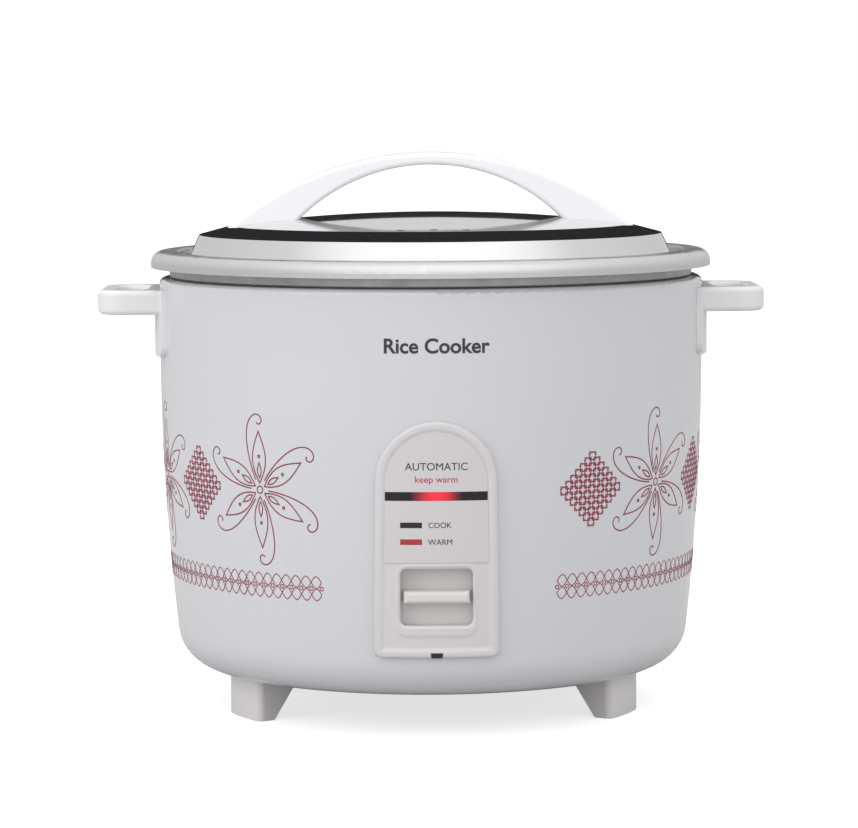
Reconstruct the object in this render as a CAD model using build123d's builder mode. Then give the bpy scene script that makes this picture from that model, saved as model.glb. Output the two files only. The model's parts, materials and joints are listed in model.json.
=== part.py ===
from build123d import *
from math import asin, cos, degrees, radians, sin, sqrt
import os

os.makedirs("parts", exist_ok=True)

# A drum rice cooker, in millimetres. The origin is on the ground under the drum's axis,
# +Z is up, -Y is the front with the switch, and the side handles lie along X.

# ---------------------------------------------------------------- driving dimensions

# Cooking pan
pan_bore = 112.8  # inside radius
pan_wall = 1.2
pan_depth = 133.3  # from its underside to the seat for the lid
pan_corner = 16.0
seat_width = 5.6  # flat ring that the lid stands on
lip_rise = 3.8  # crest of the lip above the seat
lip_drop = 3.9  # edge of the lip below the seat
lip_reach = 22.5  # edge of the lip outside the bore
pan_gap = 2.0  # between pan and liner

# Inner liner
liner_wall = 0.8
liner_hole = 71.0
liner_corner = 8.0
collar_reach = 9.5  # collar outside the liner's wall
collar_rise = 6.0

# Body shell
jacket_gap = 13.3  # air space between liner and shell
shell_wall = 1.2
foot_height = 20.0
rim_below_seat = 8.9
rim_round = 2.9
corner_radius = 20.0
belly_rise = 155.0  # widest ring above the underside
belly_radius = 1265.0  # radius of the side's gentle curve
base_hole = 66.0
mouth_gap = 0.9

# Heater plate
plate_radius = 88.0
plate_thickness = 14.0
plate_edge = 3.0
plate_to_liner = 5.2
plate_hole = 22.3
element_ring = 66.0
element_tube = 3.3
element_sweep = 320.0
post_circle = 82.0
post_radius = 5.0
post_angles = (60, 180, 300)

# Switch works
lever_height = 32.0  # lever above the underside of the shell
lever_to_plate = 32.0  # lever below the top of the heater plate
lever_pivot = 35.0  # pivot in front of the drum's axis
lever_width = 12.0
lever_thickness = 2.0
lever_play = 0.6
pin_radius = 2.0
pin_clearance = 0.05
barrel_radius = 4.0
barrel_length = 19.0
ear_gap = 20.0
ear_width = 14.0
strap_width = 26.0
strap_thickness = 1.5
strap_screw_circle = 83.0

# Thermostat
cap_radius = 19.0
cap_wall = 1.0
cap_skirt = 11.0
cup_radius = 17.2
cup_wall = 1.0
cup_depth = 26.0
cup_rise = 6.0
cup_flange = 31.0
rod_radius = 2.0
rod_collar = 4.2
magnet_radius = 9.5
magnet_height = 5.0
magnet_top = 9.4  # below the top of the plate
ferrite_radius = 10.0
ferrite_height = 4.2
sensor_coil = 14.8
sensor_wire = 0.6
magnet_coil = 12.0
magnet_wire = 0.45

# Control panel
panel_foot = 20.2  # bottom edge above the underside of the shell
panel_height = 108.6
panel_half_width = 28.9
panel_top_radius = 27.8
panel_proud = 3.0
panel_rim = 4.2
face_drop = 0.8
label_bottom = 64.5
label_thickness = 0.4
window_width = 33.0
window_height = 26.6
window_above_lever = 16.5
window_frame = 2.2
tunnel_wall = 1.5
cutout_half_width = 20.0
screw_boss = 3.2
upper_boss = (20.0, 108.0)
lower_boss = (22.5, 27.0)
upper_screw = 7.5
lower_screw = 3.6
bar_width = 46.4
bar_height = 3.9
bar_level = 95.0
dash_width = 9.7
dash_height = 2.4
dash_centre = -11.5
cook_level = 81.8
warm_level = 74.1
lens_fit = 0.1

# Switch knob
knob_width = 35.0
knob_thickness = 2.0
knob_gap = 0.5
knob_travel = 7.5
rib_width = 30.0
rib_height = 5.6

# Side handles
handle_reach = 28.7  # outside the shell
handle_width = 64.0
handle_corner = 13.0
loop_height = 11.8
loop_below_rim = 5.1
hole_length = 13.5
hole_width = 45.0
hole_corner = 6.0
bar_thickness = 8.6
mount_width = 72.0
mount_height = 32.0
mount_thickness = 2.4
handle_screw_spread = 20.0

# Lid
lid_wall = 0.8
lid_bead = 1.1
lid_fit = 1.8  # rim of the lid inside the rise of the lip
lid_lean = 4.6  # skirt leans in by this much
skirt_height = 11.5
bevel_width = 15.8
bevel_rise = 4.2
dome_rise = 5.8
vent_radius = 1.7
vent_pitch = 15.0
vent_circle = 90.0
grip_outer = 153.0
grip_inner = 90.0
grip_height = 29.0  # top of the grip above the crest of the dome
grip_thickness = 5.8
grip_width = 28.0
grip_edge = 2.2
grip_screw = 78.0

# Feet
foot_outer = 103.0
foot_sole = 9.0
foot_top = 24.0
foot_start = 17.0
foot_sweep = 19.0
foot_screw_circle = 88.0

# Base plate
base_rim = 77.0
base_sheet = 0.8
dish_radius = 55.0
dish_depth = 7.0
vent_slots = 12

# Power inlet
inlet_level = 26.0  # above the underside of the shell
inlet_width = 24.4
inlet_height = 16.4
inlet_corner = 5.0
inlet_depth = 18.0
inlet_wall = 2.0
inlet_flange = 50.0
inlet_face = 0.3  # face of the flange outside the widest ring
inlet_screw_spread = 20.0
blade_pitch = 7.0

# ---------------------------------------------------------------- worked-out places

liner_bore = pan_bore + pan_wall + pan_gap
liner_outer = liner_bore + liner_wall
shell_inner = liner_outer + jacket_gap
shell_radius = shell_inner + shell_wall
shell_bottom = foot_height
lever_z = shell_bottom + lever_height
plate_top = lever_z + lever_to_plate
plate_bottom = plate_top - plate_thickness
liner_bottom = plate_bottom - plate_to_liner - liner_wall
seat_z = plate_top + pan_depth
crest_z = seat_z + lip_rise
shell_rim = seat_z - rim_below_seat
belly_z = shell_bottom + belly_rise
belly_centre = shell_radius - belly_radius
corner_z = shell_bottom + corner_radius
lean = asin((belly_z - corner_z) / (belly_radius - corner_radius))
corner_centre = belly_centre + (belly_radius - corner_radius) * cos(lean)
pivot_y = -lever_pivot
panel_bottom = shell_bottom + panel_foot
window_z = lever_z + window_above_lever
knob_front = -(liner_outer + 2.8 + knob_thickness)
knob_back = knob_front + knob_thickness
tunnel_end = knob_front - knob_gap
screw_seat = -(liner_outer + 3.2)
front_reach = shell_radius + panel_proud + 5

ON_BASE = (Align.CENTER, Align.CENTER, Align.MIN)
ON_TOP = (Align.CENTER, Align.CENTER, Align.MAX)
FRONT = (0, -1, 0)


# ---------------------------------------------------------------- shared shapes


def radial_plane(angle):
    """Upright plane through the drum's axis, with its x axis pointing out at an angle."""
    turn = radians(angle)
    out = (cos(turn), sin(turn), 0)
    side = (sin(turn), -cos(turn), 0)
    return Plane(origin=(0, 0, 0), x_dir=out, z_dir=side)


def drum(inset):
    """The drum's outside shape as one solid, drawn in all round by inset."""
    shoulder_r = shell_radius - rim_round
    shoulder_z = shell_rim - rim_round
    with BuildPart() as solid:
        with BuildSketch(Plane.XZ):
            with BuildLine():
                floor = Line((0, shell_bottom + inset), (corner_centre, shell_bottom + inset))
                CenterArc((corner_centre, corner_z), corner_radius - inset, -90, 90 - degrees(lean))
                side = CenterArc((belly_centre, belly_z), belly_radius - inset, -degrees(lean), degrees(lean))
                Line(side @ 1, (shell_radius - inset, shoulder_z))
                shoulder = CenterArc((shoulder_r, shoulder_z), rim_round - inset, 0, 90)
                top = Line(shoulder @ 1, (0, shell_rim - inset))
                Line(top @ 1, floor @ 0)
            make_face()
        revolve(axis=Axis.Z)
    return solid.part


def sheet_ring(points, radii, wall):
    """A turned sheet: its inner face runs through the points, its wall lies outside."""
    with BuildPart() as solid:
        with BuildSketch(Plane.XZ):
            with BuildLine():
                FilletPolyline(*points, radius=radii)
                offset(amount=wall, side=Side.RIGHT)
            make_face()
        revolve(axis=Axis.Z)
    return solid.part


def screws(places, head_radius, head_height, shank_radius, shank_length):
    """Cross-head screws: a head stands on each place, and its shank goes down from it."""
    rim = head_height * 0.6
    crown = head_height - rim
    with BuildPart() as group:
        with Locations(*places):
            Cylinder(head_radius, rim, align=ON_BASE)
            Cylinder(shank_radius, shank_length, align=ON_TOP)
            with Locations((0, 0, rim)):
                Cone(head_radius, head_radius * 0.7, crown, align=ON_BASE)
                Box(head_radius, 0.8, head_height, align=ON_BASE, mode=Mode.SUBTRACT)
                Box(0.8, head_radius, head_height, align=ON_BASE, mode=Mode.SUBTRACT)
    return group.part


def tombstone(inset):
    """Outline of the panel, drawn in by inset: upright sides and a round top."""
    arch_z = panel_bottom + panel_height - panel_top_radius
    foot_half = panel_half_width - inset
    arch_radius = panel_top_radius - inset
    with BuildSketch(Plane.XZ) as outline:
        with BuildLine():
            foot = Line((-foot_half, panel_bottom + inset), (foot_half, panel_bottom + inset))
            right = Line(foot @ 1, (arch_radius, arch_z))
            arch = CenterArc((0, arch_z), arch_radius, 0, 180)
            Line(arch @ 1, foot @ 0)
        make_face()
        corners = outline.vertices().group_by(Axis.Z)[0]
        fillet(corners, panel_rim - inset * 0.6)
    return outline.sketch


def front_block(x, z, width, height, near, far):
    """A block in front of the drum's axis, between two distances from the axis."""
    with BuildPart() as solid:
        with BuildSketch(Plane.XZ.offset(near)):
            with Locations((x, z)):
                Rectangle(width, height)
        extrude(amount=far - near)
    return solid.part


def coil_spring(bottom, top, radius, wire, turns):
    """A round wire wound round the drum's axis from bottom to top."""
    rise = top - bottom - 2 * wire
    with BuildPart() as spring:
        with BuildLine() as coil:
            Helix(pitch=rise / turns, height=rise, radius=radius, center=(0, 0, bottom + wire))
        with BuildSketch(Plane(origin=coil.line @ 0, z_dir=coil.line % 0)):
            Circle(wire)
        sweep(is_frenet=True)
    return spring.part


drum_outside = drum(0)
drum_inside = drum(shell_wall)
drum_panel = drum(-panel_proud)
drum_face = drum(face_drop - panel_proud)
drum_label = drum(face_drop - panel_proud - label_thickness)
drum_mount = drum(-mount_thickness)

# ---------------------------------------------------------------- cooking pan

lip_radius = pan_bore + lip_reach
seat_edge = pan_bore + seat_width
pan_path = (
    (0, plate_top + pan_wall),
    (pan_bore, plate_top + pan_wall),
    (pan_bore, seat_z),
    (seat_edge, seat_z),
    (seat_edge + lip_rise, crest_z),
    (lip_radius, crest_z),
    (lip_radius, seat_z - lip_drop),
)
pan_radii = (pan_corner, 1.5, 2.0, 3.0, 5.5)

with BuildPart() as cooking_pan:
    add(sheet_ring(pan_path, pan_radii, pan_wall))
cooking_pan.part.label = "cooking_pan"
export_step(cooking_pan.part, "parts/cooking_pan.step")

# ---------------------------------------------------------------- lid

lid_radius = seat_edge - lid_fit
lid_corner = lid_radius - lid_lean
bevel_edge = lid_corner - bevel_width
skirt_z = seat_z + skirt_height
lid_crest = skirt_z + bevel_rise + dome_rise
dome_radius = (bevel_edge**2 + dome_rise**2) / (2 * dome_rise)
grip_top = lid_crest + grip_height
grip_spots = ((-grip_screw, 0), (grip_screw, 0))


def lid_envelope(inset):
    """The lid's outside shape as one solid, drawn in by inset."""
    dome_span = degrees(asin(bevel_edge / dome_radius))
    with BuildPart() as solid:
        with BuildSketch(Plane.XZ):
            with BuildLine():
                rim = Line((0, seat_z + lid_bead), (lid_radius - inset, seat_z + lid_bead))
                skirt = Line(rim @ 1, (lid_corner - inset, skirt_z - inset))
                dome = CenterArc((0, lid_crest - dome_radius), dome_radius - inset, 90 - dome_span, dome_span)
                Line(skirt @ 1, dome @ 0)
                Line(dome @ 1, rim @ 0)
            make_face()
        revolve(axis=Axis.Z)
    return solid.part


def dome_height(radius):
    """Height of the dome's outside at a distance from the axis."""
    return lid_crest - dome_radius + sqrt(dome_radius**2 - radius**2)


lid_outside = lid_envelope(0)

with BuildPart() as lid_shell:
    add(lid_outside)
    add(lid_envelope(lid_wall), mode=Mode.SUBTRACT)
    with Locations((0, 0, seat_z + lid_bead)):
        Torus(lid_radius - lid_bead, lid_bead)
    with Locations(*[(n * vent_pitch, -vent_circle, lid_crest) for n in (-1, 0, 1)]):
        Cylinder(vent_radius, 6 * dome_rise, mode=Mode.SUBTRACT)
    with Locations(*[(x, y, lid_crest) for x, y in grip_spots]):
        Cylinder(2.2, 6 * dome_rise, mode=Mode.SUBTRACT)
lid_shell.part.label = "lid_shell"
export_step(lid_shell.part, "parts/lid_shell.step")

with BuildPart() as lid_handle:
    with BuildSketch(Plane.XZ) as arch:
        with Locations((0, grip_top - grip_outer)):
            Circle(grip_outer)
        with Locations((0, grip_top - grip_thickness - grip_inner)):
            Circle(grip_inner, mode=Mode.SUBTRACT)
        with Locations((0, lid_crest - 2 * dome_rise)):
            Rectangle(2 * grip_outer, grip_outer, align=(Align.CENTER, Align.MIN), mode=Mode.INTERSECT)
    extrude(amount=grip_width / 2, both=True)
    fillet(lid_handle.edges().filter_by(GeomType.CIRCLE), grip_edge)
    add(lid_outside, mode=Mode.SUBTRACT)
    with Locations(*[(x, y, dome_height(grip_screw)) for x, y in grip_spots]):
        Cylinder(1.6, 15, mode=Mode.SUBTRACT)
lid_handle.part.label = "lid_handle"
export_step(lid_handle.part, "parts/lid_handle.step")

grip_head_z = dome_height(grip_screw + 4) - 2 * lid_wall
grip_heads = [Plane(origin=(x, y, grip_head_z), z_dir=(0, 0, -1)) for x, y in grip_spots]
lid_screws = screws(grip_heads, 3.6, 2.2, 1.6, 7.5)
lid_screws.label = "lid_handle_screws"
export_step(lid_screws, "parts/lid_handle_screws.step")

# ---------------------------------------------------------------- body shell

upper_bosses = [(side * upper_boss[0], shell_bottom + upper_boss[1]) for side in (-1, 1)]
lower_bosses = [(side * lower_boss[0], shell_bottom + lower_boss[1]) for side in (-1, 1)]
cutout_bottom = window_z - window_height / 2 - tunnel_wall - 1.0
cutout_top = shell_bottom + bar_level + bar_height / 2 + 3.0
handle_top = shell_rim - loop_below_rim
handle_bottom = handle_top - loop_height
handle_screw_z = handle_top - loop_height / 2
inlet_z = shell_bottom + inlet_level
socket_width = inlet_width + 2 * inlet_wall
socket_height = inlet_height + 2 * inlet_wall
foot_middle = foot_start + foot_sweep / 2
foot_angles = {
    "foot_front_left": 180 + foot_middle,
    "foot_front_right": -foot_middle,
    "foot_rear_left": 180 - foot_middle,
    "foot_rear_right": foot_middle,
}
foot_spots = [Vector(foot_screw_circle, 0, 0).rotate(Axis.Z, angle) for angle in foot_angles.values()]
post_spots = [Vector(post_circle, 0, 0).rotate(Axis.Z, angle) for angle in post_angles]
strap_spots = [Vector(0, side * strap_screw_circle, 0) for side in (-1, 1)]

with BuildPart() as body_shell:
    add(drum_outside)
    add(drum_inside, mode=Mode.SUBTRACT)
    with Locations((0, 0, shell_rim)):
        Cylinder(liner_outer + mouth_gap, 6 * shell_wall, mode=Mode.SUBTRACT)
    with Locations((0, 0, shell_bottom)):
        Cylinder(base_hole, 6 * shell_wall, mode=Mode.SUBTRACT)
    with Locations(*[(spot.X, spot.Y, shell_bottom) for spot in foot_spots + post_spots + strap_spots]):
        Cylinder(2.1, 6 * shell_wall, mode=Mode.SUBTRACT)
    with BuildSketch(Plane.XZ):
        with Locations((0, (cutout_bottom + cutout_top) / 2)):
            Rectangle(2 * cutout_half_width, cutout_top - cutout_bottom)
        with Locations(*upper_bosses, *lower_bosses):
            Circle(screw_boss + 0.3)
    extrude(amount=front_reach, mode=Mode.SUBTRACT)
    with BuildSketch(Plane.XZ):
        with Locations((0, inlet_z)):
            Rectangle(socket_width + 0.8, socket_height + 0.8)
            with Locations((-inlet_screw_spread, 0), (inlet_screw_spread, 0)):
                Circle(1.6)
    extrude(amount=-front_reach, mode=Mode.SUBTRACT)
    with BuildSketch(Plane.YZ):
        with Locations((-handle_screw_spread, handle_screw_z), (handle_screw_spread, handle_screw_z)):
            Circle(2.1)
    extrude(amount=front_reach, both=True, mode=Mode.SUBTRACT)
body_shell.part.label = "body_shell"
export_step(body_shell.part, "parts/body_shell.step")

# ---------------------------------------------------------------- inner liner

collar_radius = liner_outer + collar_reach
collar_bore = collar_radius - liner_wall
liner_floor = liner_bottom + liner_wall
liner_path = (
    (liner_hole, liner_floor),
    (liner_bore, liner_floor),
    (liner_bore, shell_rim + liner_wall),
    (collar_bore, shell_rim + liner_wall),
    (collar_bore, shell_rim + collar_rise),
)

with BuildPart() as inner_liner:
    add(sheet_ring(liner_path, (liner_corner, 1.5, 0.4), liner_wall))
    with Locations(*[(spot.X, spot.Y, liner_floor) for spot in post_spots]):
        Cylinder(2.1, 6 * liner_wall, mode=Mode.SUBTRACT)
inner_liner.part.label = "inner_liner"
export_step(inner_liner.part, "parts/inner_liner.step")

# ---------------------------------------------------------------- heater

element_z = plate_bottom - 1.0
half_sweep = element_sweep / 2
element_ends = [Vector(element_ring, 0, 0).rotate(Axis.Z, 90 + side * half_sweep) for side in (-1, 1)]


def element_solid():
    """The tubular element: a nearly closed ring with two legs that point down."""
    with BuildPart() as tube:
        with BuildSketch(radial_plane(90 - half_sweep)):
            with Locations((element_ring, element_z)):
                Circle(element_tube)
        revolve(axis=Axis.Z, revolution_arc=element_sweep)
        with Locations(*[(spot.X, spot.Y, element_z) for spot in element_ends]):
            Sphere(element_tube)
            Cylinder(element_tube, 10, align=ON_TOP)
            with Locations((0, 0, -10)):
                Cylinder(1.5, 5, align=ON_TOP)
    return tube.part


element = element_solid()
element.label = "heater_element"
export_step(element, "parts/heater_element.step")

with BuildPart() as heater_plate:
    with BuildSketch(Plane.XZ):
        with BuildLine():
            Polyline(
                (plate_hole, plate_bottom),
                (plate_radius - plate_edge, plate_bottom),
                (plate_radius, plate_bottom + plate_edge),
                (plate_radius, plate_top - plate_edge / 2),
                (plate_radius - plate_edge / 2, plate_top),
                (plate_hole + 1, plate_top),
                (plate_hole, plate_top - 1),
                (plate_hole, plate_bottom),
            )
        make_face()
    revolve(axis=Axis.Z)
    with BuildSketch(Plane.XZ):
        with Locations((element_ring, plate_bottom - 2.5)):
            Rectangle(4 * element_tube, 5)
    revolve(axis=Axis.Z)
    with Locations(*[(spot.X, spot.Y, liner_floor) for spot in post_spots]):
        Cylinder(post_radius + 1, plate_to_liner + 1, align=ON_BASE)
        Cylinder(1.65, plate_to_liner + 10, align=ON_BASE, mode=Mode.SUBTRACT)
    with Locations(*[(side * 27.0, 0, plate_bottom) for side in (-1, 1)], (-42, 14, plate_bottom)):
        Cylinder(1.25, 14, mode=Mode.SUBTRACT)
    with Locations((-42, -14, plate_bottom), (14, 46, plate_bottom), (-14, 46, plate_bottom)):
        Cylinder(1.25, 14, mode=Mode.SUBTRACT)
    add(element, mode=Mode.SUBTRACT)
heater_plate.part.label = "heater_plate"
export_step(heater_plate.part, "parts/heater_plate.step")

post_foot = shell_bottom + shell_wall
with BuildPart() as heater_posts:
    with Locations(*[(spot.X, spot.Y, post_foot) for spot in post_spots]):
        Cylinder(post_radius, liner_bottom - post_foot, align=ON_BASE)
        Cylinder(2.2, liner_bottom - post_foot, align=ON_BASE, mode=Mode.SUBTRACT)
heater_posts.part.label = "heater_posts"
export_step(heater_posts.part, "parts/heater_posts.step")

post_heads = [Plane(origin=(spot.X, spot.Y, shell_bottom), z_dir=(0, 0, -1)) for spot in post_spots]
post_screws = screws(post_heads, 3.6, 2.2, 1.6, liner_floor + 12 - shell_bottom)
post_screws.label = "heater_screws"
export_step(post_screws, "parts/heater_screws.step")

# ---------------------------------------------------------------- base

strap_top = post_foot + strap_thickness
dish_z = shell_bottom - dish_depth
ear_x = ear_gap / 2
switch_tab = 3.2
switch_top = lever_z - 4.4
switch_y = pivot_y - 16.0

base_path = (
    (3.0, dish_z + base_sheet),
    (dish_radius - 3, dish_z + base_sheet),
    (dish_radius + 3, shell_bottom),
    (base_rim, shell_bottom),
)
with BuildPart() as base_plate:
    add(sheet_ring(base_path, (3.0, 2.0), base_sheet))
    with BuildSketch(Plane.XY):
        with PolarLocations(34, vent_slots):
            SlotOverall(20, 3)
    extrude(amount=shell_bottom, mode=Mode.SUBTRACT)
base_plate.part.label = "base_plate"
export_step(base_plate.part, "parts/base_plate.step")

with BuildPart() as base_strap:
    with Locations((0, 0, post_foot)):
        Box(strap_width, 2 * strap_screw_circle + 12, strap_thickness, align=ON_BASE)
    for side in (-1, 1):
        with BuildSketch(Plane.YZ.offset(side * (ear_x + strap_thickness / 2))):
            with Locations((pivot_y, post_foot)):
                Rectangle(ear_width, lever_z - post_foot, align=(Align.CENTER, Align.MIN))
            with Locations((pivot_y, lever_z)):
                Circle(ear_width / 2)
                Circle(pin_radius + pin_clearance, mode=Mode.SUBTRACT)
        extrude(amount=strap_thickness / 2, both=True)
    with BuildSketch(Plane.YZ.offset(switch_tab)):
        with Locations((switch_y, post_foot)):
            Rectangle(20, switch_top - post_foot, align=(Align.CENTER, Align.MIN))
        with Locations((switch_y - 5, switch_top - 7), (switch_y + 5, switch_top - 7)):
            Circle(1.2, mode=Mode.SUBTRACT)
    extrude(amount=strap_thickness)
    with Locations((0, 0, post_foot), *[(spot.X, spot.Y, post_foot) for spot in strap_spots]):
        Cylinder(1.65, 6 * strap_thickness, mode=Mode.SUBTRACT)
    with Locations((0, 0, post_foot)):
        Cylinder(2.6, 6 * strap_thickness, mode=Mode.SUBTRACT)
    with Locations(*[(side * 8.0, 52, post_foot) for side in (-1, 1)]):
        Cylinder(1.25, 6 * strap_thickness, mode=Mode.SUBTRACT)
base_strap.part.label = "base_strap"
export_step(base_strap.part, "parts/base_strap.step")

strap_heads = [Plane(origin=(spot.X, spot.Y, shell_bottom), z_dir=(0, 0, -1)) for spot in strap_spots]
strap_screws = screws(strap_heads, 3.4, 2.2, 1.6, 7)
strap_screws.label = "base_strap_screws"
export_step(strap_screws, "parts/base_strap_screws.step")

nut_top = dish_z
nut_height = 8.5
with BuildPart() as base_stud:
    with Locations((0, 0, strap_top)):
        Cylinder(5, 3, align=ON_BASE)
        Cylinder(2.5, strap_top - nut_top + nut_height - 2.5, align=ON_TOP)
base_stud.part.label = "base_stud"
export_step(base_stud.part, "parts/base_stud.step")

with BuildPart() as base_nut:
    with Locations((0, 0, nut_top)):
        Cylinder(7.5, 2, align=ON_TOP)
        Cylinder(6, nut_height, align=ON_TOP)
    fillet(base_nut.edges().filter_by(GeomType.CIRCLE).group_by(Axis.Z)[0], 2.0)
    with BuildSketch(Plane.XY.offset(nut_top - nut_height)):
        with PolarLocations(6.4, 10):
            Circle(0.8)
    extrude(amount=nut_height - 2, mode=Mode.SUBTRACT)
    with Locations((0, 0, nut_top)):
        Cylinder(2.55, nut_height - 2.2, align=ON_TOP, mode=Mode.SUBTRACT)
base_nut.part.label = "base_nut"
export_step(base_nut.part, "parts/base_nut.step")

# ---------------------------------------------------------------- feet

foot_inner_top = foot_outer - foot_sole - 15.0
for name, angle in foot_angles.items():
    with BuildPart() as foot:
        with BuildSketch(radial_plane(angle - foot_sweep / 2)):
            Polygon(
                (foot_outer - foot_sole, 0),
                (foot_outer, 0),
                (foot_outer, foot_top + 4),
                (foot_inner_top, foot_top + 4),
                (foot_inner_top, foot_height),
                align=None,
            )
        revolve(axis=Axis.Z, revolution_arc=foot_sweep)
        out = Vector(1, 0, 0).rotate(Axis.Z, angle)
        uprights = foot.edges().filter_by(Axis.Z).sort_by(lambda e: e.center().dot(out))[-2:]
        fillet(uprights, 3.5)
        add(drum_outside, mode=Mode.SUBTRACT)
        with Locations(Location(out * foot_screw_circle)):
            Cylinder(2.0, 3 * foot_height, mode=Mode.SUBTRACT)
            Cylinder(4.0, foot_height - 5, align=ON_BASE, mode=Mode.SUBTRACT)
    foot.part.label = name
    export_step(foot.part, f"parts/{name}.step")

foot_heads = [Plane(origin=(spot.X, spot.Y, foot_height - 5), z_dir=(0, 0, -1)) for spot in foot_spots]
foot_screws = screws(foot_heads, 3.4, 2.2, 1.6, 10)
foot_screws.label = "foot_screws"
export_step(foot_screws, "parts/foot_screws.step")

# ---------------------------------------------------------------- side handles

loop_reach = shell_radius + handle_reach
loop_bar = loop_reach - bar_thickness - hole_length / 2
for name, side in (("left_side_handle", -1), ("right_side_handle", 1)):
    with BuildPart() as handle:
        with BuildSketch(Plane.XY.offset(handle_bottom)):
            with Locations((side * loop_reach / 2, 0)):
                RectangleRounded(loop_reach, handle_width, handle_corner)
            with Locations((side * loop_bar, 0)):
                RectangleRounded(hole_length, hole_width, hole_corner, mode=Mode.SUBTRACT)
        extrude(amount=loop_height)
        rims = handle.edges().group_by(Axis.Z)
        fillet(rims[0] + rims[-1], 2.6)
        with BuildSketch(Plane.YZ.offset(side * shell_radius * 0.7)):
            with Locations((0, handle_top)):
                Rectangle(mount_width, mount_height, align=(Align.CENTER, Align.MAX))
            fillet(vertices().group_by(Axis.Y)[0], 6)
        wing = extrude(amount=side * shell_radius, mode=Mode.PRIVATE)
        add(wing & drum_mount)
        add(drum_outside, mode=Mode.SUBTRACT)
        with BuildSketch(Plane.YZ):
            with Locations((-handle_screw_spread, handle_screw_z), (handle_screw_spread, handle_screw_z)):
                Circle(1.6)
        extrude(amount=side * (shell_radius + 4.5), mode=Mode.SUBTRACT)
    handle.part.label = name
    export_step(handle.part, f"parts/{name}.step")

handle_head_x = sqrt(shell_inner**2 - (handle_screw_spread + 3.6) ** 2)
handle_heads = [
    Plane(origin=(side * handle_head_x, y, handle_screw_z), z_dir=(-side, 0, 0))
    for side in (-1, 1)
    for y in (-handle_screw_spread, handle_screw_spread)
]
handle_screws = screws(handle_heads, 3.6, 2.2, 1.6, 6.5)
handle_screws.label = "side_handle_screws"
export_step(handle_screws, "parts/side_handle_screws.step")

# ---------------------------------------------------------------- thermostat

cup_floor = plate_top - cup_depth
cap_under = plate_top - cap_wall
magnet_face = plate_top - magnet_top
magnet_seat = magnet_face - magnet_height
sensor_screw = 27.0

with BuildPart() as sensor_cap:
    with Locations((0, 0, plate_top)):
        Cylinder(cap_radius, cap_skirt, align=ON_TOP)
    fillet(sensor_cap.edges().group_by(Axis.Z)[-1], 0.8)
    with Locations((0, 0, cap_under)):
        Cylinder(cap_radius - cap_wall, cap_skirt, align=ON_TOP, mode=Mode.SUBTRACT)
sensor_cap.part.label = "sensor_cap"
export_step(sensor_cap.part, "parts/sensor_cap.step")

with BuildPart() as ferrite_disc:
    with Locations((0, 0, cap_under)):
        Cylinder(ferrite_radius, ferrite_height, align=ON_TOP)
ferrite_disc.part.label = "ferrite_disc"
export_step(ferrite_disc.part, "parts/ferrite_disc.step")

with BuildPart() as thermostat_housing:
    with Locations((0, 0, plate_bottom)):
        Cylinder(cup_flange, strap_thickness, align=ON_TOP)
        Cylinder(cup_radius, cup_rise, align=ON_BASE)
        Cylinder(cup_radius, plate_bottom - cup_floor, align=ON_TOP)
    with Locations((0, 0, cup_floor + cup_wall)):
        Cylinder(cup_radius - cup_wall, cup_depth, align=ON_BASE, mode=Mode.SUBTRACT)
    with Locations((0, 0, cup_floor)):
        Cylinder(rod_collar + 1.3, 6 * cup_wall, mode=Mode.SUBTRACT)
    with Locations((-sensor_screw, 0, plate_bottom), (sensor_screw, 0, plate_bottom)):
        Cylinder(1.65, 6 * cup_wall, mode=Mode.SUBTRACT)
thermostat_housing.part.label = "thermostat_housing"
export_step(thermostat_housing.part, "parts/thermostat_housing.step")

sensor_head_z = plate_bottom - strap_thickness
sensor_heads = [Plane(origin=(side * sensor_screw, 0, sensor_head_z), z_dir=(0, 0, -1)) for side in (-1, 1)]
sensor_screws = screws(sensor_heads, 3.0, 2.0, 1.25, 7)
sensor_screws.label = "thermostat_screws"
export_step(sensor_screws, "parts/thermostat_screws.step")

sensor_spring = coil_spring(cup_floor + cup_wall, cap_under, sensor_coil, sensor_wire, 6)
sensor_spring.label = "sensor_spring"
export_step(sensor_spring, "parts/sensor_spring.step")

magnet_spring = coil_spring(magnet_seat, cap_under, magnet_coil, magnet_wire, 4)
magnet_spring.label = "magnet_spring"
export_step(magnet_spring, "parts/magnet_spring.step")

with BuildPart() as magnet:
    with Locations((0, 0, magnet_face)):
        Cylinder(magnet_radius, magnet_height, align=ON_TOP)
magnet.part.label = "magnet"
export_step(magnet.part, "parts/magnet.step")

collar_high = lever_z + lever_thickness / 2 + lever_play
collar_low = lever_z - lever_thickness / 2 - lever_play
with BuildPart() as magnet_rod:
    with Locations((0, 0, magnet_seat)):
        Cylinder(magnet_coil + 1, 1.2, align=ON_TOP)
        Cylinder(rod_radius, magnet_seat - collar_low + 2, align=ON_TOP)
    with Locations((0, 0, collar_high)):
        Cylinder(rod_collar, 2, align=ON_BASE)
    with Locations((0, 0, collar_low)):
        Cylinder(rod_collar, 2, align=ON_TOP)
magnet_rod.part.label = "magnet_rod"
export_step(magnet_rod.part, "parts/magnet_rod.step")

# ---------------------------------------------------------------- lever and micro switch

lever_tip = knob_back + 1.0
lever_tail = rod_collar + 4
plunger_y = pivot_y - 14.0

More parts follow.
